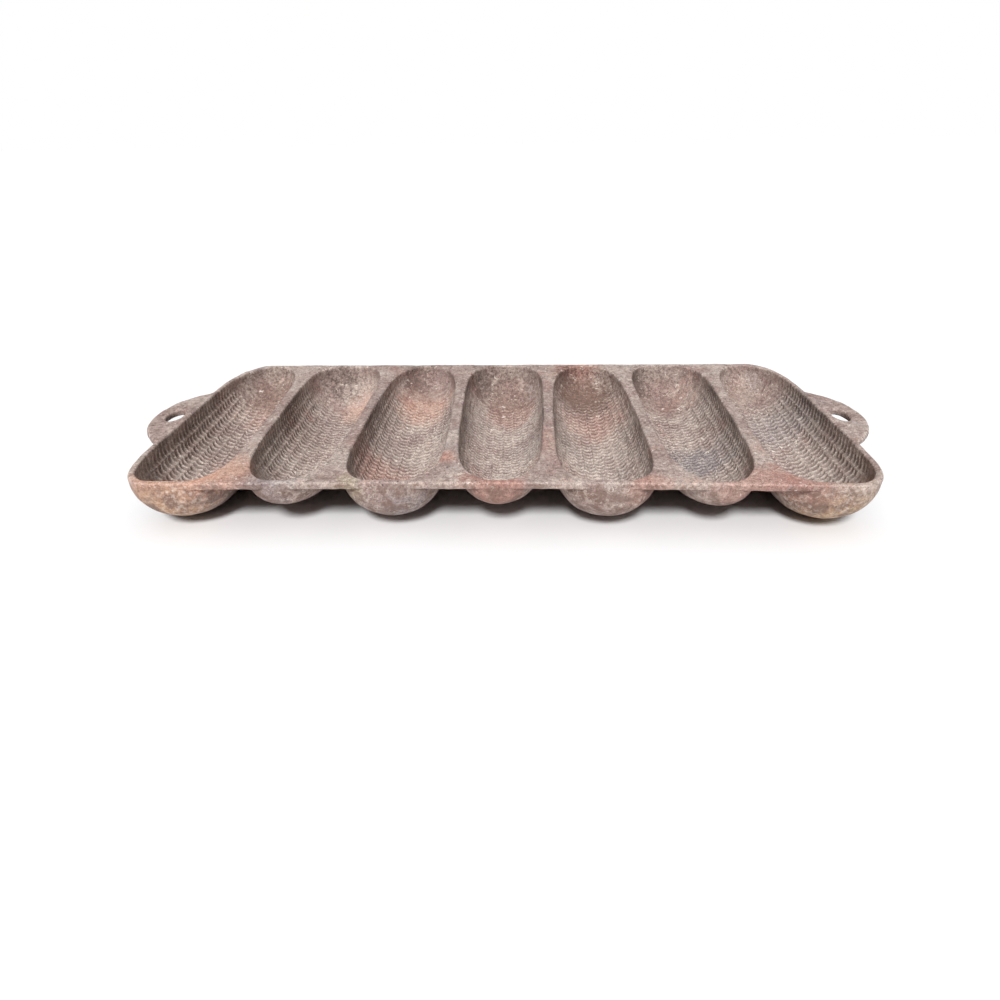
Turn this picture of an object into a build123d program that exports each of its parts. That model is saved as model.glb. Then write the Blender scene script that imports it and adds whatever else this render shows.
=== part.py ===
from build123d import *
from math import cos, pi, sin
import os

# Cast iron corn stick pan: a thin top plate with seven ear-shaped mouths,
# a half-round ear cup hanging under each mouth, and a hanging handle at each end.
# Millimetres. X runs along the pan, Y from front to back, Z is up, and the origin
# is on the table under the middle of the pan.

# Whole pan
ear_count = 7
pan_depth = 146.0
plate_thickness = 3.0
land_width = 5.0
rim_margin = 3.0

# Ear cups
mouth_half_width = 20.1
cup_gap = 0.2
wear_flat_depth = 0.2
shell_facets = 30
kernel_rows = 12
kernel_rise = 0.6

# Hanging handles
handle_radius = 37.5
handle_thickness = 3.4
handle_set_forward = 1.5
handle_root_radius = 3.0
hang_hole_width = 7.6
hang_hole_length = 14.0
hang_hole_wall = 1.0

# One ear from its blunt butt end to its tip: how far along it is, how wide it is there and
# how deep, as shares of its length, of its greatest half-width and of its greatest depth.
# The tip is drawn out like the bowl of a spoon, so it is shallower there than it is wide.
mid_place_share = 0.50
mid_size_share = 0.985
ear_form_shares = (
    (0.000, 0.38, 0.34),
    (0.012, 0.50, 0.46),
    (0.032, 0.66, 0.61),
    (0.065, 0.85, 0.78),
    (0.125, 0.955, 0.95),
    (0.250, 1.00, 1.00),
    (mid_place_share, mid_size_share, mid_size_share),
    (0.700, 0.93, 0.875),
    (0.820, 0.86, 0.74),
    (0.900, 0.72, 0.59),
    (0.960, 0.49, 0.42),
    (1.000, 0.22, 0.21),
)
row_shoulder_share = 1 / 3

# Sizes that follow from the ones above
ear_pitch = 2 * mouth_half_width * mid_size_share + land_width
shell_wall = (land_width - cup_gap) / 2
shell_radius = mouth_half_width + shell_wall
mouth_length = pan_depth - 2 * rim_margin
pan_height = plate_thickness + shell_radius - wear_flat_depth
plate_underside = pan_height - plate_thickness
end_ear_x = ear_pitch * (ear_count - 1) / 2
handle_hole_x = end_ear_x + shell_radius + hang_hole_wall + hang_hole_width / 2
overrun = plate_thickness


def ear_x(number):
    """Centre line of an ear, counted from 1 at the left end."""
    return ear_pitch * (number - 1) - end_ear_x


def tip_direction(number):
    """+1 where the ear's tip points to the back; neighbours lie head to tail."""
    return 1 if number % 2 else -1


def ear_stations(number, length):
    """Y place, width share and depth share of each station of an ear."""
    way = tip_direction(number)
    return [(way * (place - mid_place_share) * length, width, depth) for place, width, depth in ear_form_shares]


def ear_outline(number, length, half_width):
    """Closed outline of an ear as seen from above."""
    stations = ear_stations(number, length)
    right = [(ear_x(number) + half_width * width, y) for y, width, depth in stations]
    left = [(ear_x(number) - half_width * width, y) for y, width, depth in reversed(stations)]
    return right + left


def round_bottom(width, depth):
    """Radius of the arc that is this wide at the plate and this deep, and its centre's height."""
    radius = (width**2 + depth**2) / (2 * depth)
    return radius, radius - depth


def smooth_section(radius):
    """Half circle of the outside of a cup, from its left edge round to its right edge."""
    turns = [pi + pi * facet / shell_facets for facet in range(shell_facets + 1)]
    return [(radius * cos(turn), radius * sin(turn)) for turn in turns]


def kernel_section(radius):
    """Half circle of a cavity, with a raised ridge between each two rows of kernels."""
    row_turn = pi / kernel_rows
    rise = kernel_rise * radius / mouth_half_width
    points = [(-radius, 0)]
    for row in range(kernel_rows):
        ridge_turn = pi + row_turn * (row + 1 / 2)
        for side, dip in ((-1, 0), (0, rise), (1, 0)):
            turn = ridge_turn + side * row_shoulder_share * row_turn
            points.append(((radius - dip) * cos(turn), (radius - dip) * sin(turn)))
    return points + [(radius, 0), (radius, overrun), (-radius, overrun)]


def upright_face(number, y, lift, points):
    """Face across an ear at one station, drawn from a centre lifted above the plate's underside."""
    origin = (ear_x(number), y, plate_underside + lift)
    with BuildSketch(Plane(origin, x_dir=(1, 0, 0), z_dir=(0, -1, 0))) as section:
        with BuildLine():
            Polyline(*points, close=True)
        make_face()
    return section.sketch


def faceted_loft(sections):
    """Ruled loft whose facets, flat by their making, are kept as planes."""
    ruled = loft(sections=sections, ruled=True, mode=Mode.PRIVATE)
    return Solid(Shell([Face(facet.outer_wire()) for facet in ruled.faces()]))


def ear_body(number, length, half_width, draw_section):
    """Solid of an ear from butt to tip, with one drawn section at each station."""
    sections = []
    for y, width, depth in ear_stations(number, length):
        radius, lift = round_bottom(half_width * width, half_width * depth)
        sections.append(upright_face(number, y, lift, draw_section(radius)))
    return faceted_loft(sections)


os.makedirs("parts", exist_ok=True)

# Seen from above, the body is the straight run between the end ears and those two ears
with BuildSketch() as body_outline:
    Rectangle(2 * end_ear_x, pan_depth)
    for number in (1, ear_count):
        with BuildLine():
            Polyline(*ear_outline(number, pan_depth, shell_radius), close=True)
        make_face()

# Top plate with its seven mouths
with BuildPart() as top_plate:
    with BuildSketch(Plane.XY.offset(plate_underside)):
        add(body_outline.sketch)
        for number in range(1, ear_count + 1):
            with BuildLine():
                Polyline(*ear_outline(number, mouth_length, mouth_half_width), close=True)
            make_face(mode=Mode.SUBTRACT)
    extrude(amount=plate_thickness)
top_plate.part.label = "top_plate"
export_step(top_plate.part, "parts/top_plate.step")

# Ear cups: a half-round shell each, lofted from butt to tip, with its kernel-rowed cavity
for number in range(1, ear_count + 1):
    with BuildPart() as ear_cup:
        add(ear_body(number, pan_depth, shell_radius, smooth_section))
        split(bisect_by=Plane.XY.offset(plate_underside), keep=Keep.BOTTOM)
        add(ear_body(number, mouth_length, mouth_half_width, kernel_section), mode=Mode.SUBTRACT)
        # The belly is worn flat where it rests on the stove or the table
        split(bisect_by=Plane.XY, keep=Keep.TOP)
    ear_cup.part.label = f"ear_cup_{number}"
    export_step(ear_cup.part, f"parts/ear_cup_{number}.step")

# Hanging handles: round lugs outside the end ears, each with an oval hole and hollow roots
for side, name in ((-1, "left_handle"), (1, "right_handle")):
    with BuildPart() as handle:
        with BuildSketch(Plane.XY.offset(pan_height - handle_thickness)) as lug:
            add(body_outline.sketch)
            with Locations((side * end_ear_x, -handle_set_forward)):
                Circle(handle_radius)
            rim = lug.edges().filter_by(GeomType.CIRCLE)
            fillet(rim.vertices(), handle_root_radius)
            add(body_outline.sketch, mode=Mode.SUBTRACT)
            with Locations((side * handle_hole_x, -handle_set_forward)):
                Ellipse(hang_hole_width / 2, hang_hole_length / 2, mode=Mode.SUBTRACT)
        extrude(amount=handle_thickness)
    handle.part.label = name
    export_step(handle.part, f"parts/{name}.step")
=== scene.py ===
import math
import bmesh
import bpy
import numpy as np
from mathutils import Matrix, Vector
from mathutils.geometry import delaunay_2d_cdt


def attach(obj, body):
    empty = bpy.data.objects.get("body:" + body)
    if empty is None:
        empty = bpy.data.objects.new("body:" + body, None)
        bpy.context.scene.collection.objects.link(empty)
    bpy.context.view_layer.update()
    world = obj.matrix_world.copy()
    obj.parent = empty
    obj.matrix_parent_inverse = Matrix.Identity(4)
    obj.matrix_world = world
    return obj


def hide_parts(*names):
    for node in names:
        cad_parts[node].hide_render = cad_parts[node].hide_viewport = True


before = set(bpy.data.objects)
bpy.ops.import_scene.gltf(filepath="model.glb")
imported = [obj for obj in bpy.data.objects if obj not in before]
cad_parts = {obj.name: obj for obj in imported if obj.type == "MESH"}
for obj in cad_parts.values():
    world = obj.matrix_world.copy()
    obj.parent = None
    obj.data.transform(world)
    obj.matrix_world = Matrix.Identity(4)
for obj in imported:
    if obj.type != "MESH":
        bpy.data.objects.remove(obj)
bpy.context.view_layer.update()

print("frame loaded:", len(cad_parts), "nodes")

# The pan is drawn in millimetres and made metres in the last step of each piece.
metresPerMm = 0.001
pan = {
    "depth": 146.0,
    "plate": 3.0,
    "underside": 22.3,
    "ears": 7,
    "earPitch": 44.597,
    "crown": 0.9,          # the old casting's front edge has risen a little in the middle
}
deckTop = pan["underside"] + pan["plate"]
endEarX = pan["earPitch"] * (pan["ears"] - 1) / 2


def tone(red, green, blue):
    # a colour as read off a screen, 0 to 255, made linear
    shares = [c / 255 for c in (red, green, blue)]
    return tuple(c / 12.92 if c < 0.0405 else ((c + 0.055) / 1.055) ** 2.4 for c in shares) + (1.0,)


class Patch:
    # a socket that can be added up with others; its node method makes any node
    def __init__(self, tree, socket=None):
        self.tree, self.socket = tree, socket

    def node(self, kind, settings=None, plugs=None, out=0):
        made = self.tree.nodes.new(kind)
        for name, value in (settings or {}).items():
            setattr(made, name, value)
        for name, value in (plugs or {}).items():
            for one in value if isinstance(value, list) else [value]:
                if isinstance(one, Patch):
                    self.tree.links.new(one.socket, made.inputs[name])
                else:
                    made.inputs[name].default_value = one
        return Patch(self.tree, made.outputs[out])

    def sums(self, operation, *terms, clamp=False):
        settings = {"operation": operation, "use_clamp": clamp}
        return self.node("ShaderNodeMath", settings, dict(enumerate(terms)))

    def __add__(self, other):
        return self.sums("ADD", self, other)

    def __radd__(self, other):
        return self.sums("ADD", other, self)

    def __sub__(self, other):
        return self.sums("SUBTRACT", self, other)

    def __rsub__(self, other):
        return self.sums("SUBTRACT", other, self)

    def __mul__(self, other):
        return self.sums("MULTIPLY", self, other)

    def __rmul__(self, other):
        return self.sums("MULTIPLY", other, self)

    def __truediv__(self, other):
        return self.sums("DIVIDE", self, other)

    def __rtruediv__(self, other):
        return self.sums("DIVIDE", other, self)

    def __pow__(self, other):
        return self.sums("POWER", self, other)

    def __neg__(self):
        return self.sums("MULTIPLY", self, -1.0)

    def kept(self):
        # held between 0 and 1
        return self.sums("ADD", self, 0.0, clamp=True)

    def ease(self, low, high):
        # 0 below low, 1 above high, soft between
        return self.node("ShaderNodeMapRange", {"interpolation_type": "SMOOTHSTEP"},
                         {"Value": self, "From Min": low, "From Max": high})

    def axes(self):
        split = self.node("ShaderNodeSeparateXYZ", None, {0: self})
        return [Patch(self.tree, output) for output in split.socket.node.outputs]

    def vector(self, x, y, z):
        return self.node("ShaderNodeCombineXYZ", None, {0: x, 1: y, 2: z})

    def vectors(self, operation, *terms, out=0):
        return self.node("ShaderNodeVectorMath", {"operation": operation}, dict(enumerate(terms)), out)

    def scaled(self, factor):
        return self.node("ShaderNodeVectorMath", {"operation": "SCALE"}, {0: self, "Scale": factor})

    def noise(self, size, detail=2.0, rough=0.5, warp=0.0, out=0):
        # soft noise whose blobs are about this many millimetres across
        numbers = {"Scale": 1 / size, "Detail": detail, "Roughness": rough, "Distortion": warp}
        return self.node("ShaderNodeTexNoise", {"noise_dimensions": "3D"}, {"Vector": self, **numbers}, out)

    def mixed(self, other, factor, blend="MIX"):
        settings = {"data_type": "RGBA", "blend_type": blend}
        return self.node("ShaderNodeMix", settings, {0: factor, 6: self, 7: other}, 2)


# The outline of one ear, seen from above, butt end first

earOutline = {
    # how far along the ear each control point lies, how far out and how deep, as shares
    "controls": (
        (0.0, 0.0, 0.0), (0.0, 0.24, 0.22), (0.0, 0.46, 0.42), (0.022, 0.70, 0.60), (0.066, 0.90, 0.80),
        (0.15, 1.005, 0.99), (0.28, 1.008, 1.008), (0.50, 0.988, 0.995), (0.70, 0.945, 0.885),
        (0.82, 0.885, 0.755), (0.91, 0.76, 0.60), (0.968, 0.53, 0.43), (1.0, 0.28, 0.25),
        (1.0, 0.13, 0.12), (1.0, 0.0, 0.0),
    ),
    "curveSteps": 64,
    "shellRadius": 22.5,
    "mouthHalfWidth": 20.1,
    "mouthLength": 140.0,
    "kernels": 54,             # from end to end along the outline
    "stationsPerKernel": 8,
}


def drawOutline(halfWidth, length, points):
    # the right-hand side of an ear as evenly spaced points: x outwards, y from butt to tip, z how deep
    curve = bpy.data.curves.new("earOutline", "CURVE")
    spline = curve.splines.new("NURBS")
    spline.points.add(len(earOutline["controls"]) - 1)
    for point, (place, width, depth) in zip(spline.points, earOutline["controls"]):
        point.co = (width * halfWidth, (place - 0.5) * length, depth * halfWidth, 1)
    spline.order_u = 4
    spline.use_endpoint_u = True
    curve.resolution_u = earOutline["curveSteps"]
    drawn = bpy.data.objects.new("earOutline", curve)
    mesh = bpy.data.meshes.new_from_object(drawn)
    line = np.array([v.co[:] for v in mesh.vertices])
    bpy.data.objects.remove(drawn)
    bpy.data.curves.remove(curve)
    bpy.data.meshes.remove(mesh)
    run = np.concatenate(([0], np.cumsum(np.linalg.norm(np.diff(line, axis=0), axis=1))))
    even = np.linspace(0, run[-1], points)
    return np.stack([np.interp(even, run, line[:, k]) for k in range(3)], axis=1), run[-1]


stations = earOutline["kernels"] * earOutline["stationsPerKernel"] + 1
shellForm, shellRun = drawOutline(earOutline["shellRadius"], pan["depth"], stations)
shellSide = shellForm[:, :2]
mouthShare = (
    earOutline["mouthHalfWidth"] / earOutline["shellRadius"],
    earOutline["mouthLength"] / pan["depth"],
)
mouthSide = shellSide * mouthShare
print("ear outline:", stations, "stations,", round(float(shellRun), 1), "mm from butt to tip")

edges = {
    "lipRadius": 0.9,          # the mouth's edge on the deck
    "seamReach": 1.1,          # cup and plate meet this far outside the mouth
    "rimRadius": 0.9,
    "rimUnderRadius": 0.5,
    "handleRadius": 1.15,
    "arcSteps": 4,
    "tuck": 0.06,              # a shell's hidden collar stops this far below the deck
    "overlap": 0.45,           # and stands this far outside the seam until it turns in
    "weldGap": 0.002,
    "paleRim": 0.20,           # how pale the painted highlight on the rounded edge is, and how dark the painted shade on the rim's upright face
    "dullFront": 0.75,
    "dullRim": 0.15,
    "frontFrom": -66.0,
}


# Geometry Nodes: one ear cup, its kernel-lined hollow and its smooth shell

kernelLook = {
    "Kernel Rows": 12.0,
    "Row Ridge": 0.62,         # mm that the lines between rows stand up
    "Cross Ridge": 0.70,       # mm that the lines between kernels stand up
    "Ridge Sharpness": 3.2,
    "Kernel Uneven": 0.40,
    "Row Slide": 1.3,          # mm that a row's kernels drift along the ear
    "Row Bow": 0.95,           # mm that a cross ridge sags towards the front
    "Row Wander": 0.20,        # share of a row's width
    "Butt Smooth": 0.085,
    "Tip Smooth": 0.90,
}
kernelFade = {
    "slideFrom": (0.03, 0.14),  # shares of the outline over which the rows start to drift
    "slideTo": (0.86, 0.97),   # and over which they stop
    "buttRun": 0.12,           # shares of the ear over which the kernels fade in at the butt and out at the tip
    "tipRun": 0.14,
    "ragged": (0.10, 0.12),
    "wear": (0.40, 1.20),      # the least height of a worn ridge, and how much the noise adds
    "steep": 0.50,             # share of a cross ridge that is left at the mouth's edge
}
earGrid = {"rowColumns": 10, "wallColumns": 2, "seamColumns": 1, "shellColumns": 36, "shellCollarColumns": 4}


def newTree(name, numbers):
    tree = bpy.data.node_groups.new(name, "GeometryNodeTree")
    tree.interface.new_socket("Geometry", in_out="INPUT", socket_type="NodeSocketGeometry")
    for label, value in numbers.items():
        tree.interface.new_socket(label, in_out="INPUT", socket_type="NodeSocketFloat").default_value = value
    tree.interface.new_socket("Finish", in_out="INPUT", socket_type="NodeSocketMaterial")
    tree.interface.new_socket("Geometry", in_out="OUTPUT", socket_type="NodeSocketGeometry")
    bench = Patch(tree)
    given = tree.nodes.new("NodeGroupInput")
    return bench, {output.name: Patch(tree, output) for output in given.outputs if output.name}


def closeTree(bench, geometry, finish):
    plain = bench.node("GeometryNodeRealizeInstances", None, {0: geometry})
    painted = bench.node("GeometryNodeSetMaterial", None, {"Geometry": plain, "Material": finish})
    end = bench.tree.nodes.new("NodeGroupOutput")
    bench.tree.links.new(painted.socket, end.inputs[0])
    return bench.tree


def earTree():
    numbers = {
        "Ear X": 0.0, "Tip Way": 1.0, "Seed": 0.0,
        "Mouth Width Share": mouthShare[0], "Mouth Length Share": mouthShare[1],
        "Outline Run": float(shellRun), "Plate": pan["plate"], "Underside": pan["underside"],
        "Lip Radius": edges["lipRadius"], "Seam Reach": edges["seamReach"],
    }
    bench, given = newTree("earCupNodes", {**numbers, **kernelLook})
    rows = given["Kernel Rows"]
    way, seed, plate, lip = given["Tip Way"], given["Seed"], given["Plate"], given["Lip Radius"]
    outline = bench.node("GeometryNodeMeshToCurve", None, {0: given["Geometry"]})
    rowCount = int(kernelLook["Kernel Rows"])

    def gridOf(columns):
        counts = {"Vertices X": stations, "Vertices Y": columns + 1}
        mesh = bench.node("GeometryNodeMeshGrid", None, {"Size X": 1.0, "Size Y": 1.0, **counts})
        x, y, _ = bench.node("GeometryNodeInputPosition").axes()
        return mesh, x + 0.5, y + 0.5

    def sampled(along):
        # place on the shell's and the mouth's outline, and the mouth's outward direction there
        plugs = {"Curves": outline, "Factor": along}
        spot = bench.node("GeometryNodeSampleCurve", {"mode": "FACTOR"}, plugs, "Position")
        heading = Patch(bench.tree, spot.socket.node.outputs["Tangent"])
        out, place, deep = spot.axes()
        goOut, goAlong, _ = heading.axes()
        widthShare, lengthShare = given["Mouth Width Share"], given["Mouth Length Share"]
        mouthOut, mouthPlace = out * widthShare, place * lengthShare
        turned = bench.vector(goAlong * lengthShare, -(goOut * widthShare), 0.0)
        facing, ahead, _ = bench.vectors("NORMALIZE", turned).axes()
        return out, place, deep, mouthOut, mouthPlace, facing, ahead

    def marked(mesh, label, value):
        return bench.node("GeometryNodeStoreNamedAttribute", {"data_type": "FLOAT", "domain": "POINT"},
                          {"Geometry": mesh, "Name": label, "Value": value})

    def stand(mesh, x, y, z):
        spot = bench.vector(given["Ear X"] + way * x, way * y, given["Underside"] + z)
        return bench.node("GeometryNodeSetPosition", None, {"Geometry": mesh, "Position": spot})

    def collar(v, share):
        return bench.sums("MAXIMUM", ((share - v) / share).kept(), ((v - 1.0 + share) / share).kept())

    # the hollow: a collar up to the deck on each side, and rows of kernels between
    arcSteps = edges["arcSteps"]
    collarColumns = earGrid["wallColumns"] + arcSteps + earGrid["seamColumns"]
    bowlColumns = rowCount * earGrid["rowColumns"]
    columns = bowlColumns + 2 * collarColumns
    mesh, u, v = gridOf(columns)
    share = collarColumns / columns
    across = ((v - share) / (1 - 2 * share)).kept()
    climb = collar(v, share)
    side = bench.sums("SIGN", v - 0.5)

    rowPlace = across * rows
    fromRowMiddle = bench.sums("ABSOLUTE", bench.sums("FRACT", rowPlace) - 0.5) * 2.0
    kernelPlace = u * float(earOutline["kernels"])
    fromKernelMiddle = bench.sums("ABSOLUTE", bench.sums("FRACT", kernelPlace) - 0.5) * 2.0
    drift = bench.vector(rowPlace * 0.75 + seed * 7.3, u * 9.0, seed).noise(1.0, 1.0) - 0.5
    wander = bench.vector(u * 7.0, seed * 3.1, across * 2.0).noise(1.0, 1.0) - 0.5
    inside = bench.sums("SINE", across * math.pi)
    endsIn = u.ease(*kernelFade["slideFrom"]) * (1.0 - u.ease(*kernelFade["slideTo"]))
    slide = drift * 2.0 * given["Row Slide"] - way * given["Row Bow"] * (1.0 - fromRowMiddle * fromRowMiddle)
    slid = u + slide * (1.0 - climb) * endsIn / given["Outline Run"]
    turn = (across + wander * given["Row Wander"] * inside * endsIn / rows) * math.pi
    _, place, deep, mouthOut, mouthPlace, facing, ahead = sampled(slid)

    alongShare = place / pan["depth"] + 0.5
    ragged = bench.vector(rowPlace * 0.8, u * 6.0, seed * 5.0).noise(1.0, 2.0) - 0.5
    buttEnd, tipEnd = given["Butt Smooth"], given["Tip Smooth"]
    raggedButt, raggedTip = kernelFade["ragged"]
    formed = (alongShare + ragged * raggedButt).ease(buttEnd, buttEnd + kernelFade["buttRun"])
    formed = formed * (1.0 - (alongShare + ragged * raggedTip).ease(tipEnd - kernelFade["tipRun"], tipEnd))
    leastWear, moreWear = kernelFade["wear"]
    wearAndHighlight = leastWear + moreWear * bench.vector(rowPlace * 0.5, u * 14.0, seed * 2.0 + 9.0).noise(1.0, 2.0)
    kernel = bench.vector(bench.sums("FLOOR", rowPlace), bench.sums("FLOOR", kernelPlace), seed)
    jitter = bench.node("ShaderNodeTexWhiteNoise", {"noise_dimensions": "3D"}, {"Vector": kernel})
    rowCrest = fromRowMiddle ** 2.6
    crossCrest = fromKernelMiddle ** given["Ridge Sharpness"]
    hollowness = (1.0 - rowCrest) * (1.0 - crossCrest)
    rise = given["Row Ridge"] * rowCrest * (inside * 3.0).kept()
    steepSoft = kernelFade["steep"] + (1.0 - kernelFade["steep"]) * inside
    rise = rise + given["Cross Ridge"] * crossCrest * (1.0 - 0.35 * rowCrest) * steepSoft
    rise = rise - given["Kernel Uneven"] * (jitter - 0.5) * hollowness
    rise = rise * formed * wearAndHighlight * (1.0 - climb)
    wallEnd = earGrid["wallColumns"] / collarColumns
    arcEnd = (earGrid["wallColumns"] + arcSteps) / collarColumns
    bend = ((climb - wallEnd) / (arcEnd - wallEnd)).kept() * (math.pi / 2)
    height = (climb / wallEnd).kept() * (plate - lip) + lip * bench.sums("SINE", bend)
    seamward = ((climb - arcEnd) / (1 - arcEnd)).kept()
    reach = lip * (1.0 - bench.sums("COSINE", bend)) + (given["Seam Reach"] - lip) * seamward
    x = side * facing * reach - bench.sums("COSINE", turn) * (mouthOut - rise)
    z = height - bench.sums("SINE", turn) * (deep * given["Mouth Width Share"] - rise)
    rowSpot = bench.vector(bench.sums("ROUND", rowPlace) * 3.7, u * 5.0, seed * 4.0)
    rowLine = rowSpot.noise(1.0, 2.0).ease(0.42, 0.66)
    # painted highlight, partly wear: this marks the cross ridges' crests that are painted paler
    ridge = crossCrest * formed * wearAndHighlight.kept() * (1.0 - climb)
    # painted shade, partly dirt: this marks the kernel hollows and some row lines that are painted darker
    pocket = bench.sums("MAXIMUM", hollowness, rowCrest * rowCrest * rowLine * 1.6) * formed * (1.0 - climb)
    hollow = stand(marked(marked(mesh, "ridge", ridge), "pocket", pocket), x, mouthPlace + ahead * reach, z)

    # the shell: half round below the plate, and a hidden collar inside it that meets the hollow's edge
    collarColumns = earGrid["shellCollarColumns"]
    columns = earGrid["shellColumns"] + 2 * collarColumns
    mesh, u, v = gridOf(columns)
    share = collarColumns / columns
    turn = ((v - share) / (1 - 2 * share)).kept() * math.pi
    climb = collar(v, share) * collarColumns
    side = bench.sums("SIGN", v - 0.5)
    out, place, deep, mouthOut, mouthPlace, facing, ahead = sampled(u)
    inward, upward, across = (climb - 1.0).kept(), (climb - 2.0).kept(), (climb - 3.0).kept()
    tuck = edges["tuck"]
    reach = given["Seam Reach"] + edges["overlap"] * (1.0 - across)
    x = -(bench.sums("COSINE", turn) * out * (1.0 - inward)) + side * (mouthOut + facing * reach) * inward
    y = place * (1.0 - inward) + (mouthPlace + ahead * reach) * inward
    z = climb.kept() * (plate - lip) + upward * (lip - tuck) + across * tuck - bench.sums("SINE", turn) * deep
    z = bench.sums("MAXIMUM", z, -given["Underside"])
    # painted shade: the shell's outside is marked to be painted darker
    mesh = marked(mesh, "soot", (1.0 - climb).kept())
    shell = bench.node("GeometryNodeFlipFaces", None, {0: stand(mesh, x, y, z)})

    joined = bench.node("GeometryNodeJoinGeometry", None, {0: [hollow, shell]})
    welded = bench.node("GeometryNodeMergeByDistance", None, {"Geometry": joined, "Distance": edges["weldGap"]})
    return closeTree(bench, welded, given["Finish"])


# Geometry Nodes: the skin of the casting, alike on every piece, so that seams don't show

skinLook = {"Lump Size": 11.0, "Lump Height": 0.34, "Grain Size": 3.2, "Grain Height": 0.13}


def skinTree():
    numbers = {"Crown": pan["crown"], "End Ear X": endEarX, "Depth": pan["depth"]}
    bench, given = newTree("castSkinNodes", {**numbers, **skinLook})
    place = bench.node("GeometryNodeInputPosition")
    x, y, _ = place.axes()
    arch = (1.0 - (x / given["End Ear X"]) * (x / given["End Ear X"])) * (0.5 - y / given["Depth"])
    offset = bench.vector(0.0, 0.0, given["Crown"] * arch)
    for kind in ("Lump", "Grain"):
        shifted = place.vectors("ADD", place, (kind == "Lump") * Vector((31.0, 7.0, 5.0)))
        blobs = bench.node("ShaderNodeTexNoise", {"noise_dimensions": "3D"},
                           {"Vector": shifted, "Scale": 1.0 / given[kind + " Size"], "Detail": 1.0}, "Color")
        push = blobs.vectors("SUBTRACT", blobs, (0.5, 0.5, 0.5)).scaled(given[kind + " Height"] * 2.0)
        offset = offset.vectors("ADD", offset, push)
    moved = bench.node("GeometryNodeSetPosition", None, {"Geometry": given["Geometry"], "Offset": offset})
    small = bench.node("GeometryNodeTransform", None, {"Geometry": moved, "Scale": (metresPerMm,) * 3})
    return closeTree(bench, small, given["Finish"])


def addNodes(piece, tree, values):
    modifier = piece.modifiers.new(tree.name, "NODES")
    modifier.node_group = tree
    for item in tree.interface.items_tree:
        if item.in_out == "INPUT" and item.name in values:
            modifier[item.identifier] = values[item.name]


def finished(draft, name, keepSharp=False):
    # the evaluated draft as a plain closed mesh, in its place, riding on the pan
    mesh = bpy.data.meshes.new_from_object(draft.evaluated_get(bpy.context.evaluated_depsgraph_get()))
    mesh.name = name
    shape = bmesh.new()
    shape.from_mesh(mesh)
    bmesh.ops.dissolve_degenerate(shape, dist=1e-7, edges=shape.edges)
    bmesh.ops.recalc_face_normals(shape, faces=shape.faces)
    openEdges = sum(not edge.is_manifold for edge in shape.edges)
    shape.to_mesh(mesh)
    shape.free()
    mesh.shade_smooth()
    if keepSharp:
        mesh.set_sharp_from_angle(angle=math.radians(50))
    piece = bpy.data.objects.new(name, mesh)
    bpy.context.scene.collection.objects.link(piece)
    source = draft.data
    bpy.data.objects.remove(draft)
    bpy.data.meshes.remove(source)
    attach(piece, "root")
    triangles = sum(len(p.vertices) - 2 for p in mesh.polygons)
    print(name, "made:", triangles, "triangles,", openEdges, "open edges")
    return piece


def draftOf(vertices, edgePairs, faces):
    mesh = bpy.data.meshes.new("draft")
    mesh.from_pydata(vertices, edgePairs, faces)
    draft = bpy.data.objects.new("draft", mesh)
    bpy.context.scene.collection.objects.link(draft)
    return draft


# The iron

ironLook = {
    "greige": tone(185, 170, 161),
    "mauve": tone(150, 127, 122),
    "brown": tone(118, 94, 84),
    "crust": tone(74, 60, 56),
    "cool": tone(128, 127, 136),
    "rustRed": tone(180, 122, 106),
    "rustOrange": tone(210, 152, 124),
    "tan": tone(212, 176, 128),
    "olive": tone(150, 142, 84),
    "pale": tone(226, 214, 202),
}
# how broad the patterns in the finish are and how deep its fine relief is, in millimetres
ironGrain = {
    "film": 24.0, "clouds": 17.0, "blots": 6.5, "pits": 3.1, "chips": 2.6, "flecks": 1.7, "grit": 0.55,
    "relief": 0.22,
}
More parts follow.
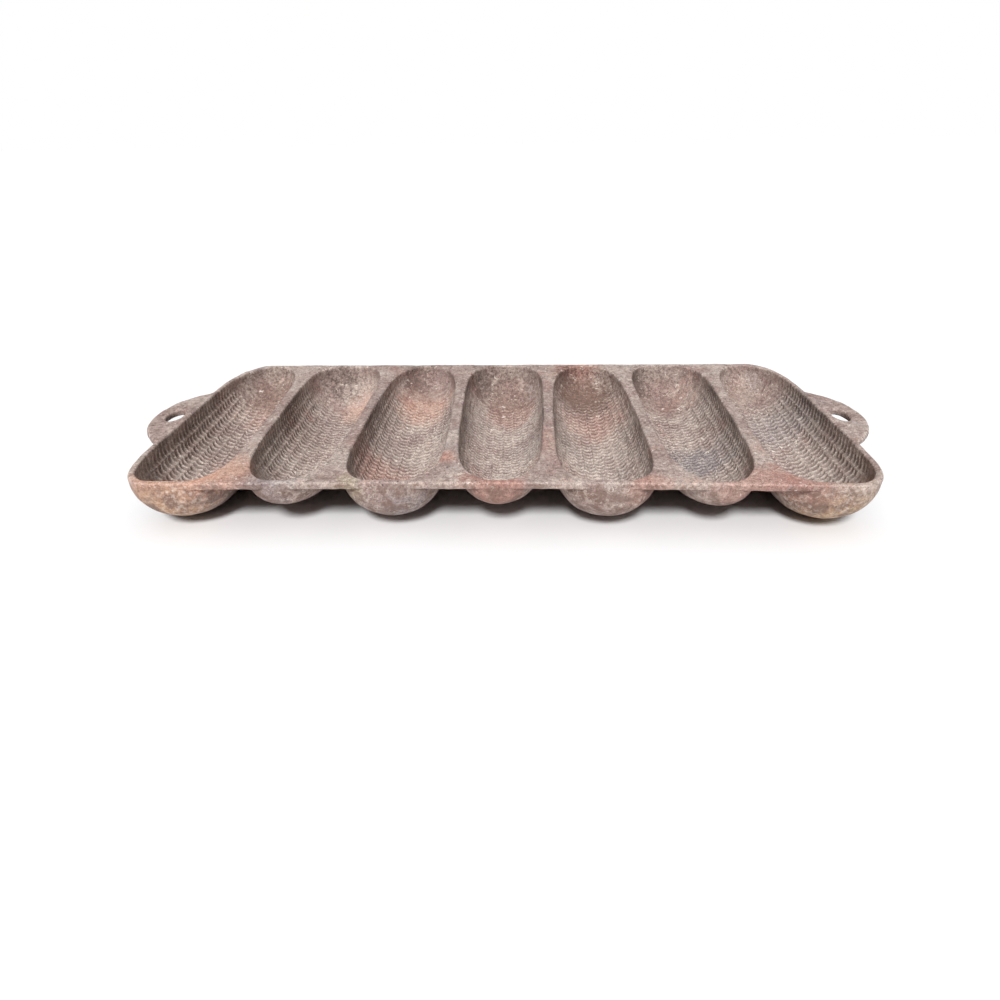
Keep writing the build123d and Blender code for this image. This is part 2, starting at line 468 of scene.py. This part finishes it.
# patches of rust and crust: where each is and how far it spreads (mm), its colour and its strength
ironSpots = (
    (-134, -68, 26, 24, "rustOrange", 0.45), (-112, -62, 26, 20, "rustOrange", 0.40),
    (-136, -66, 10, 20, "tan", 0.35), (-24, -50, 26, 8, "rustRed", 0.55), (-2, -71, 20, 18, "rustRed", 0.55),
    (60, -72, 22, 12, "rustRed", 0.45), (100, -70, 24, 22, "rustRed", 0.40),
    (40, 68, 26, 17, "rustRed", 0.50),
    # the cool patch in cup 6 at (92, -14, 6) is a painted sheen
    (135, -62, 8, 22, "tan", 0.60), (122, -68, 24, 16, "rustRed", 0.40), (92, -14, 6, 22, "cool", 0.55),
    (-60, -70, 22, 8, "olive", 0.35), (-38, -68, 12, 14, "cool", 0.45), (-92, -70, 24, 15, "cool", 0.30),
    (-95, -58, 26, 9, "cool", 0.40), (-94, 62, 18, 14, "crust", 0.65), (-12, 62, 18, 13, "crust", 0.65),
    (16, 66, 20, 9, "crust", 0.30), (36, 62, 20, 12, "crust", 0.65), (76, 62, 18, 12, "crust", 0.65),
    (-52, 66, 20, 12, "crust", 0.55), (-46, 44, 8, 20, "rustOrange", 0.35),
    (-128, 40, 8, 24, "rustRed", 0.30),
    (-80, 50, 10, 18, "rustOrange", 0.35), (4, 44, 6, 18, "rustRed", 0.35), (48, 30, 6, 26, "rustRed", 0.35),
    (140, 20, 12, 30, "cool", 0.30), (-58, -30, 10, 22, "rustRed", 0.40), (26, -40, 12, 24, "rustRed", 0.25),
    (-134, 58, 12, 22, "brown", 0.70), (-46, 60, 14, 15, "brown", 0.40), (0, 58, 12, 20, "brown", 0.70),
    (44, 54, 12, 24, "brown", 0.95), (89, 57, 12, 20, "brown", 0.50), (134, 58, 12, 20, "brown", 0.40),
    (-150, 0, 12, 26, "brown", 0.30), (-62, 10, 12, 26, "mauve", 0.50), (28, 5, 12, 20, "brown", 0.25),
    (78, -10, 12, 24, "crust", 0.25), (-104, 10, 12, 22, "brown", 0.30),
)


def sandCastIron():
    finish = bpy.data.materials.new("sandCastIron")
    finish.use_nodes = True
    tree = finish.node_tree
    shader = tree.nodes["Principled BSDF"]
    bench = Patch(tree)
    place = bench.node("ShaderNodeTexCoord", None, None, "Object").scaled(1 / metresPerMm)
    ridge = bench.node("ShaderNodeAttribute", {"attribute_name": "ridge"}, None, "Fac")
    pocket = bench.node("ShaderNodeAttribute", {"attribute_name": "pocket"}, None, "Fac")
    colour = {name: bench.node("ShaderNodeRGB") for name in ironLook}
    for name, made in colour.items():
        made.socket.default_value = ironLook[name]

    clouds = place.noise(ironGrain["clouds"], 5.0, 0.62, 0.4)
    blots = place.vectors("ADD", place, (40.0, 13.0, 8.0)).noise(ironGrain["blots"], 5.0, 0.66, 0.3)
    flecks = place.noise(ironGrain["flecks"], 3.0, 0.7)
    grit = place.vectors("ADD", place, (5.0, 50.0, 9.0)).noise(ironGrain["grit"], 2.0, 0.65)
    film = place.vectors("ADD", place, (90.0, 33.0, 4.0)).noise(ironGrain["film"], 4.0, 0.65, 0.5)

    mottled = clouds.ease(0.34, 0.62) * 0.75 + flecks.ease(0.35, 0.65) * 0.25
    paint = colour["mauve"].mixed(colour["greige"], mottled)
    paint = paint.mixed(colour["brown"], blots.ease(0.50, 0.72) * 0.55)
    paint = paint.mixed(colour["rustRed"], film.ease(0.54, 0.68) * flecks.ease(0.34, 0.6) * 0.30)
    paint = paint.mixed(colour["cool"], (1.0 - film.ease(0.33, 0.46)) * flecks.ease(0.40, 0.62) * 0.35)
    for x, y, z, spread, name, strength in ironSpots:
        gap = place.vectors("DISTANCE", place, (x, y, z), out="Value")
        ragged = gap / spread + (blots - 0.5) * 1.3 + (flecks - 0.5) * 0.9
        paint = paint.mixed(colour[name], (1.0 - ragged.ease(0.30, 1.05)) * strength)
    # painted shade, partly dirt: darker in the kernel hollows and along some row lines
    paint = paint.mixed(colour["crust"], pocket * (0.30 + 0.9 * (flecks - 0.35).kept()))
    # painted highlight, partly wear: paler on the kernel ridges' crests and on the rounded rim's top
    paint = paint.mixed(colour["pale"], ridge * (0.12 + 0.40 * grit.ease(0.35, 0.65)))
    chips = place.vectors("ADD", place, (12.0, 71.0, 3.0)).noise(ironGrain["chips"], 1.0, 0.5, 1.5)
    paint = paint.mixed(colour["pale"], chips.ease(0.68, 0.73) * 0.7)
    speckle = grit.ease(0.28, 0.70) * 0.55 + flecks.ease(0.28, 0.70) * 0.45
    paint = paint.mixed(bench.vector(speckle, speckle, speckle), 0.60, "OVERLAY")
    cells = {"Vector": place, "Scale": 1 / ironGrain["pits"], "Randomness": 1.0}
    pits = place.node("ShaderNodeTexVoronoi", {"feature": "F1"}, cells)
    pit = (1.0 - pits.ease(0.07, 0.16)) * blots.ease(0.45, 0.6)
    paint = paint.mixed(colour["crust"], pit * 0.7)
    # painted shade: darker below the deck and on the rim's upright face, darkest in the gap behind the front,
    # with some pale flecks
    _, toBack, _ = place.axes()
    soot = bench.node("ShaderNodeAttribute", {"attribute_name": "soot"}, None, "Fac")
    paint = paint.mixed(colour["brown"], soot * (0.25 + 0.50 * blots.ease(0.42, 0.60)))
    paint = paint.mixed(colour["pale"], soot * film.ease(0.50, 0.62) * flecks.ease(0.48, 0.60) * 0.35)
    paint = paint.mixed(colour["crust"], soot * toBack.ease(-66.0, -46.0) * (0.78 + 0.3 * (flecks - 0.3)))
    tree.links.new(paint.socket, shader.inputs["Base Color"])

    rough = 0.80 + 0.16 * (flecks - 0.5) + 0.10 * pocket - 0.10 * ridge
    tree.links.new(rough.socket, shader.inputs["Roughness"])
    heights = grit * 0.5 + flecks * 0.9 + blots * 0.5 - pit * 1.2
    relief = ironGrain["relief"] * metresPerMm
    bump = bench.node("ShaderNodeBump", None, {"Strength": 1.0, "Distance": relief, "Height": heights})
    tree.links.new(bump.socket, shader.inputs["Normal"])
    shader.inputs["Metallic"].default_value = 0.0
    shader.inputs["Specular IOR Level"].default_value = 0.35
    return finish


iron = sandCastIron()
skin = skinTree()
print("iron made:", len(iron.node_tree.nodes), "nodes")

# Seven ear cups, head to tail

earNodes = earTree()
for number in range(1, pan["ears"] + 1):
    draft = draftOf(shellForm.tolist(), [(i, i + 1) for i in range(stations - 1)], [])
    earPlace = {"Ear X": pan["earPitch"] * (number - 1) - endEarX, "Tip Way": 1.0 if number % 2 else -1.0}
    addNodes(draft, earNodes, {**earPlace, "Seed": float(number), "Finish": iron})
    addNodes(draft, skin, {"Finish": iron})
    cup = finished(draft, f"earCup{number}")
    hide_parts(f"ear_cup_{number}")


# Slabs: the top plate and the handles

def pushedOut(loop, distance):
    # a closed anticlockwise loop moved outwards by this distance
    ahead, behind = np.roll(loop, -1, axis=0), np.roll(loop, 1, axis=0)
    run = ahead - behind
    outward = np.stack((run[:, 1], -run[:, 0]), axis=1) / np.hypot(*run.T)[:, None]
    return loop + outward * distance


def evenly(line, gap):
    run = np.concatenate(([0], np.cumsum(np.hypot(*np.diff(line, axis=0).T))))
    even = np.linspace(0, run[-1], max(2, round(run[-1] / gap) + 1))
    return np.stack((np.interp(even, run, line[:, 0]), np.interp(even, run, line[:, 1])), axis=1)


def withinLoop(points, loop):
    x, y = points[:, :1], points[:, 1:]
    x1, y1 = loop[:, 0], loop[:, 1]
    x2, y2 = np.roll(x1, -1), np.roll(y1, -1)
    with np.errstate(divide="ignore", invalid="ignore"):
        crossed = ((y1 > y) != (y2 > y)) & (x < (x2 - x1) * (y - y1) / (y2 - y1) + x1)
    return crossed.sum(axis=1) % 2 == 1


def slab(outer, holes, holeRound, top, bottom, topRadius, underRadius, fill):
    # a slab with a rounded rim; holes are rounded too, or square where another piece lines them
    steps = edges["arcSteps"]
    quarter = [math.pi / 2 * step / steps for step in range(steps + 1)]
    profile = [(topRadius * (1 - math.sin(a)), top - topRadius * (1 - math.cos(a))) for a in quarter]
    profile += [(underRadius * (1 - math.cos(a)), bottom + underRadius * (1 - math.sin(a))) for a in quarter]
    vertices, faces, wearAndHighlight, loops = [], [], [], []
    for loop, rounded, way in [(outer, True, -1)] + [(hole, holeRound, 1) for hole in holes]:
        line = profile if rounded else [(0.0, top), (0.0, bottom)]
        first, count = len(vertices), len(loop)
        for inset, z in line:
            vertices += [(x, y, z) for x, y in pushedOut(loop, way * inset)]
            # painted highlight on the top of the rounded rim
            wearAndHighlight += [edges["paleRim"] if rounded and 0.0 < top - z < topRadius * 0.6 else 0.0] * count
        for ring in range(len(line) - 1):
            a, b = first + ring * count, first + (ring + 1) * count
            faces += [(a + i, a + (i + 1) % count, b + (i + 1) % count, b + i) for i in range(count)]
        loops.append((first, first + (len(line) - 1) * count, count))
    ground = [Vector(vertices[first + i][:2]) for first, _, count in loops for i in range(count)]
    owner = [k for k, (_, _, count) in enumerate(loops) for _ in range(count)]
    rims = [(start + i, start + (i + 1) % count) for (_, _, count), start in
            zip(loops, np.cumsum([0] + [count for _, _, count in loops[:-1]])) for i in range(count)]
    spots, _, triangles, source, _, _ = delaunay_2d_cdt(
        ground + [Vector(p) for p in fill], [(int(a), int(b)) for a, b in rims], [], 0, 1e-6)
    original = [found[0] if found else -1 for found in source]
    centres = np.array([sum((spots[i] for i in t), Vector((0, 0))) / 3 for t in triangles])
    topLoop = np.array([tuple(p) for p in ground[:loops[0][2]]])
    inside = withinLoop(centres, topLoop)
    holeOwner = [owner[o] if 0 <= o < len(owner) else 0 for o in original]
    atTop, atBottom = {}, {}
    starts = np.cumsum([0] + [count for _, _, count in loops])
    for i, o in enumerate(original):
        if 0 <= o < len(owner):
            k = owner[o]
            atTop[i], atBottom[i] = loops[k][0] + o - starts[k], loops[k][1] + o - starts[k]
        else:
            atTop[i], atBottom[i] = len(vertices), len(vertices) + 1
            vertices += [(*spots[i], top), (*spots[i], bottom)]
            wearAndHighlight += [0.0, 0.0]
    for t, keep in zip(triangles, inside):
        owners = {holeOwner[i] for i in t}
        if keep and not (len(owners) == 1 and 0 not in owners):
            faces.append([int(atTop[i]) for i in t])
            faces.append([int(atBottom[i]) for i in reversed(t)])
    # painted shade: darker below, and on the rim's upright face, most of all along the front
    below, side = bottom + 0.05, top - topRadius * 0.9
    shadeBelowValues = []
    for _, y, z in vertices:
        dull = edges["dullFront"] if y < edges["frontFrom"] else edges["dullRim"]
        shadeBelowValues.append(1.0 if z < below else dull if z < side else 0.0)
    return vertices, faces, wearAndHighlight, shadeBelowValues


def addSlab(name, shape, nodes):
    vertices, faces, wearAndHighlight, shadeBelowValues = shape
    draft = draftOf(vertices, [], faces)
    draft.data.attributes.new("ridge", "FLOAT", "POINT").data.foreach_set("value", wearAndHighlight)
    draft.data.attributes.new("soot", "FLOAT", "POINT").data.foreach_set("value", shadeBelowValues)
    addNodes(draft, skin, {"Finish": iron})
    piece = finished(draft, name, keepSharp=True)
    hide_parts(*nodes)
    return piece


plateLook = {"rimGap": 1.0, "fillGap": 1.7, "fillClearance": 0.8}
halfDepth = pan["depth"] / 2
straight = evenly(np.array([(-endEarX, -halfDepth), (endEarX, -halfDepth)]), plateLook["rimGap"])
endSide = evenly(shellSide, plateLook["rimGap"])
left = endSide[::-1] * (-1, 1) - (endEarX, 0)
# both end ears have their butts at the front
body = np.concatenate((straight[:-1], (endSide + (endEarX, 0))[:-1], (straight * (-1, -1))[:-1], left[:-1]))


def mouthLoop(number, reach):
    way = 1 if number % 2 else -1
    right = mouthSide[::2]
    loop = np.concatenate((right[:-1], (right * (-1, 1))[::-1][:-1]))
    return pushedOut(loop, reach) * way + (pan["earPitch"] * (number - 1) - endEarX, 0)


def deckFill(mouths):
    gap, clear = plateLook["fillGap"], plateLook["fillClearance"]
    (x0, y0), (x1, y1) = body.min(axis=0), body.max(axis=0)
    x, y = np.meshgrid(np.arange(x0, x1, gap), np.arange(y0, y1, gap * 0.866))
    x = x + (np.arange(len(x)) % 2)[:, None] * gap / 2
    spots = np.stack((x.ravel(), y.ravel()), axis=1)
    spots = spots[withinLoop(spots, pushedOut(body, -edges["rimRadius"] - clear))]
    for mouth in mouths:
        spots = spots[~withinLoop(spots, pushedOut(mouth, clear))]
    return spots


mouths = [mouthLoop(number, edges["seamReach"]) for number in range(1, pan["ears"] + 1)]
addSlab("topPlate", slab(body, mouths, False, deckTop, pan["underside"], edges["rimRadius"],
                         edges["rimUnderRadius"], deckFill(mouths)), ["top_plate"])

handleLook = {
    "radius": 37.5, "setForward": 1.5, "thickness": 3.4, "below": 0.12, "rootRadius": 3.0, "tuckedIn": 1.6,
    "holeX": 161.091, "holeWidth": 7.6, "holeLength": 14.0, "gap": 0.8,
    "fillGap": 1.6, "fillClearance": 0.7,
}


def arc(centre, radius, start, end, gap):
    count = max(3, round(abs(end - start) * radius / gap))
    turns = np.linspace(start, end, count + 1)
    return np.stack((centre[0] + radius * np.cos(turns), centre[1] + radius * np.sin(turns)), axis=1)


def handleOutline():
    # right-hand handle, anticlockwise: round lug, hollow root, along inside the rim, hollow root
    centre = np.array((endEarX, -handleLook["setForward"]))
    radius, root = handleLook["radius"], handleLook["rootRadius"]
    rim = shellSide + (endEarX, 0)
    run = np.gradient(rim, axis=0)
    outward = np.stack((run[:, 1], -run[:, 0]), axis=1) / np.hypot(*run.T)[:, None]
    away = rim + outward * root
    miss = np.hypot(*(away - centre).T) - (radius + root)
    touch = [i for i in range(1, len(miss)) if (miss[i] < 0) != (miss[i - 1] < 0)]
    low, high = touch[0], touch[-1]
    pieces = []
    angle = [math.atan2(*(away[i] - centre)[::-1]) for i in (low, high)]
    pieces.append(arc(centre, radius, angle[0], angle[1], handleLook["gap"]))
    toLug = math.atan2(*(centre - away[high])[::-1])
    toRim = math.atan2(*(rim[high] - away[high])[::-1])
    toRim += 2 * math.pi * round((toLug - toRim) / (2 * math.pi))
    pieces.append(arc(away[high], root, toLug, toRim, handleLook["gap"] / 2))
    hidden = rim[low:high + 1][::-1] - outward[low:high + 1][::-1] * handleLook["tuckedIn"]
    pieces.append(evenly(hidden, handleLook["gap"]))
    toLug = math.atan2(*(centre - away[low])[::-1])
    toRim = math.atan2(*(rim[low] - away[low])[::-1])
    toLug += 2 * math.pi * round((toRim - toLug) / (2 * math.pi))
    pieces.append(arc(away[low], root, toRim, toLug, handleLook["gap"] / 2)[:-1])
    return np.concatenate(pieces)


def handleFill(outline, hole):
    gap = handleLook["fillGap"]
    (x0, y0), (x1, y1) = outline.min(axis=0), outline.max(axis=0)
    x, y = np.meshgrid(np.arange(x0, x1, gap), np.arange(y0, y1, gap))
    spots = np.stack((x.ravel(), y.ravel()), axis=1)
    spots = spots[withinLoop(spots, outline)]
    everyRim = np.concatenate((outline, hole))
    away = spots[:, None, :] - everyRim[None, :, :]
    near = np.hypot(away[..., 0], away[..., 1]).min(axis=1)
    clear = edges["handleRadius"] + handleLook["fillClearance"]
    return spots[(near > clear) & ~withinLoop(spots, hole)]


rightOutline = handleOutline()
holeTurns = np.linspace(0, 2 * math.pi, 49)[:-1]
rightHole = np.stack((handleLook["holeX"] + handleLook["holeWidth"] / 2 * np.cos(holeTurns),
                      handleLook["holeLength"] / 2 * np.sin(holeTurns) - handleLook["setForward"]), axis=1)
for side, name, node in ((1, "rightHandle", "right_handle"), (-1, "leftHandle", "left_handle")):
    outline = rightOutline if side > 0 else (rightOutline * (-1, 1))[::-1]
    hole = rightHole if side > 0 else (rightHole * (-1, 1))[::-1]
    top = deckTop - handleLook["below"]
    addSlab(name, slab(outline, [hole], True, top, deckTop - handleLook["thickness"], edges["handleRadius"],
                       edges["rimUnderRadius"] * 2, handleFill(outline, hole)), [node])

# Floor, light and camera

studio = {
    "floorSize": 8.0, "floorColour": (0.93, 0.93, 0.935, 1.0), "worldColour": (1.0, 1.0, 1.0, 1.0),
    "worldStrength": 0.86, "worldLow": 0.38, "worldHigh": 0.90,
    "lampStrength": 2.85, "lampSpread": 13.0, "lampTurn": (44.0, -5.0, 0.0),
    "cameraPlace": (0.01008, -0.30606, 0.15188), "cameraDown": 29.776, "cameraTurn": 2.248,
    "cameraRoll": -0.933, "lens": 24.354,
}


def makeStudio():
    scene = bpy.context.scene
    half = studio["floorSize"] / 2
    mesh = bpy.data.meshes.new("floor")
    corners = [(-half, -half, 0), (half, -half, 0), (half, half, 0), (-half, half, 0)]
    mesh.from_pydata(corners, [], [(0, 1, 2, 3)])
    floor = bpy.data.objects.new("floor", mesh)
    scene.collection.objects.link(floor)
    paper = bpy.data.materials.new("palePaper")
    paper.use_nodes = True
    sheet = paper.node_tree.nodes["Principled BSDF"]
    sheet.inputs["Base Color"].default_value = studio["floorColour"]
    sheet.inputs["Roughness"].default_value = 1.0
    sheet.inputs["Specular IOR Level"].default_value = 0.0
    mesh.materials.append(paper)

    world = bpy.data.worlds.new("studioWhite")
    scene.world = world
    world.use_nodes = True
    bench = Patch(world.node_tree)
    rays = world.node_tree.nodes.new("ShaderNodeLightPath")
    seen = Patch(world.node_tree, rays.outputs["Is Camera Ray"])
    back = world.node_tree.nodes["Background"]
    back.inputs["Color"].default_value = studio["worldColour"]
    _, _, up = bench.node("ShaderNodeTexCoord", None, None, "Generated").axes()
    room = studio["worldStrength"] * up.ease(studio["worldLow"], studio["worldHigh"])
    strength = seen * (1.0 - room) + room
    world.node_tree.links.new(strength.socket, back.inputs["Strength"])

    lamp = bpy.data.lights.new("softTop", "SUN")
    lamp.energy, lamp.angle = studio["lampStrength"], math.radians(studio["lampSpread"])
    top = bpy.data.objects.new("softTop", lamp)
    top.rotation_euler = [math.radians(turn) for turn in studio["lampTurn"]]
    scene.collection.objects.link(top)

    camera = bpy.data.objects.new("camera", bpy.data.cameras.new("camera"))
    camera.location = studio["cameraPlace"]
    angles = (studio["cameraTurn"], 90 - studio["cameraDown"], studio["cameraRoll"])
    turn, tilt, roll = (math.radians(angle) for angle in angles)
    aim = Matrix.Rotation(turn, 3, "Z") @ Matrix.Rotation(tilt, 3, "X") @ Matrix.Rotation(roll, 3, "Z")
    camera.rotation_euler = aim.to_euler()
    camera.data.lens, camera.data.clip_start = studio["lens"], 0.01
    scene.collection.objects.link(camera)
    scene.camera = camera
    scene.view_settings.view_transform = "Standard"
    print("studio made")


makeStudio()
